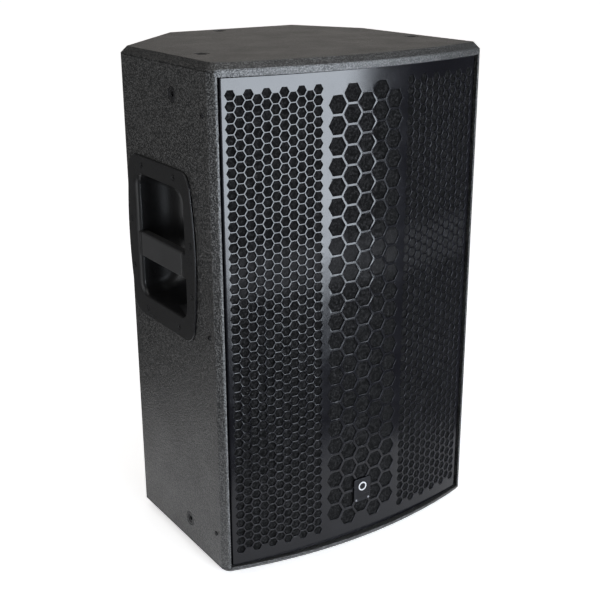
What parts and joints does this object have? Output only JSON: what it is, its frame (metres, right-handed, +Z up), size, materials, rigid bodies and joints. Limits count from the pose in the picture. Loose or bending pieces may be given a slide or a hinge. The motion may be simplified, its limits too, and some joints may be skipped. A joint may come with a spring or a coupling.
{
  "type": "pa speaker cabinet",
  "caption": "Upright active loudspeaker cabinet with angled rear walls, bowed perforated front grille, recessed side handles, rear amplifier panel and pole socket.",
  "frame": {"origin": "on the floor, under the middle of the bounding box", "axes": "+Z up, -Y out of the front grille, +X to the right of someone who faces the front"},
  "size_m": [0.4346, 0.4306, 0.7],
  "materials": {
    "textured_paint": "plywood under a hard black textured coating, satin",
    "baffle_paint": "plywood painted matt black",
    "grille_steel": "black powder coat, satin",
    "acoustic_foam": "open-cell black foam",
    "badge_metal": "plain dark anodised plate",
    "black_screw": "black oxide",
    "handle_plastic": "fine-grained black moulding",
    "grip_plastic": "black moulding",
    "rubber": "matt black",
    "pole_socket_plastic": "black glass-filled moulding",
    "rigging_steel": "dark plated steel",
    "basket_metal": "die-cast, black painted",
    "magnet": "ferrite ring between black plates",
    "cone_paper": "black pulp paper",
    "coil_copper": "copper wire on its former",
    "surround_cloth": "doped black cloth",
    "spider_cloth": "resin-stiffened cotton cloth",
    "horn_plastic": "black moulding",
    "driver_metal": "machined and painted",
    "amp_panel_metal": "black powder coat",
    "heatsink_metal": "black anodised",
    "circuit_board": "green solder mask",
    "knob_plastic": "soft-touch black",
    "switch_plastic": "glossy black",
    "connector_plastic": "black moulding"
  },
  "bodies": {
    "cabinet": {"top_panel": "textured_paint", "bottom_panel": "textured_paint", "left_panel": "textured_paint", "right_panel": "textured_paint", "rear_left_panel": "textured_paint", "rear_right_panel": "textured_paint", "rear_panel": "textured_paint", "front_baffle": "baffle_paint", "window_brace": "baffle_paint", "front_grille": "grille_steel", "grille_foam": "acoustic_foam", "badge": "badge_metal", "grille_screw_left_lower": "black_screw", "grille_screw_left_middle": "black_screw", "grille_screw_left_upper": "black_screw", "grille_screw_right_lower": "black_screw", "grille_screw_right_middle": "black_screw", "grille_screw_right_upper": "black_screw", "left_handle": "handle_plastic", "right_handle": "handle_plastic", "left_grip": "grip_plastic", "right_grip": "grip_plastic", "base_foot_front_left": "rubber", "base_foot_front_right": "rubber", "base_foot_rear_left": "rubber", "base_foot_rear_right": "rubber", "monitor_foot_lower_left": "rubber", "monitor_foot_lower_right": "rubber", "monitor_foot_upper_left": "rubber", "monitor_foot_upper_right": "rubber", "pole_socket": "pole_socket_plastic", "rigging_point_left_lower": "rigging_steel", "rigging_point_left_upper": "rigging_steel", "rigging_point_right_lower": "rigging_steel", "rigging_point_right_upper": "rigging_steel", "rigging_point_top_front_left": "rigging_steel", "rigging_point_top_front_right": "rigging_steel", "rigging_point_top_rear": "rigging_steel", "woofer_basket": "basket_metal", "woofer_magnet": "magnet", "woofer_surround": "surround_cloth", "woofer_spider": "spider_cloth", "horn": "horn_plastic", "port_left": "horn_plastic", "port_right": "horn_plastic", "compression_driver": "driver_metal", "amp_panel": "amp_panel_metal", "amp_heatsink": "heatsink_metal", "amp_board": "circuit_board", "power_switch_bezel": "switch_plastic", "mains_inlet": "connector_plastic", "input_1_socket": "connector_plastic", "input_2_socket": "connector_plastic"},
    "woofer_moving_assembly": {"woofer_cone": "cone_paper", "woofer_dust_cap": "cone_paper", "woofer_coil": "coil_copper"},
    "input_1_knob": {"input_1_level": "knob_plastic"},
    "input_2_knob": {"input_2_level": "knob_plastic"},
    "master_knob": {"master_level": "knob_plastic"},
    "power_rocker": {"power_switch": "switch_plastic"}
  },
  "joints": [
    {"name": "woofer_excursion", "type": "slide", "parent": "cabinet", "child": "woofer_moving_assembly", "axis": [0, -1, 0], "range_m": [-0.008, 0.008], "stiffness_N_per_m": 3000, "deforming": ["woofer_surround", "woofer_spider"]},
    {"name": "input_1_turn", "type": "hinge", "parent": "cabinet", "child": "input_1_knob", "pos_m": [-0.008, 0.20105, 0.335], "axis": [0, -1, 0], "range_deg": [-150, 150]},
    {"name": "input_2_turn", "type": "hinge", "parent": "cabinet", "child": "input_2_knob", "pos_m": [0.04, 0.20105, 0.335], "axis": [0, -1, 0], "range_deg": [-150, 150]},
    {"name": "master_turn", "type": "hinge", "parent": "cabinet", "child": "master_knob", "pos_m": [0.088, 0.20105, 0.335], "axis": [0, -1, 0], "range_deg": [-150, 150]},
    {"name": "power_rock", "type": "hinge", "parent": "cabinet", "child": "power_rocker", "pos_m": [0.08, 0.20025, 0.215], "axis": [1, 0, 0], "range_deg": [0, 16]}
  ]
}
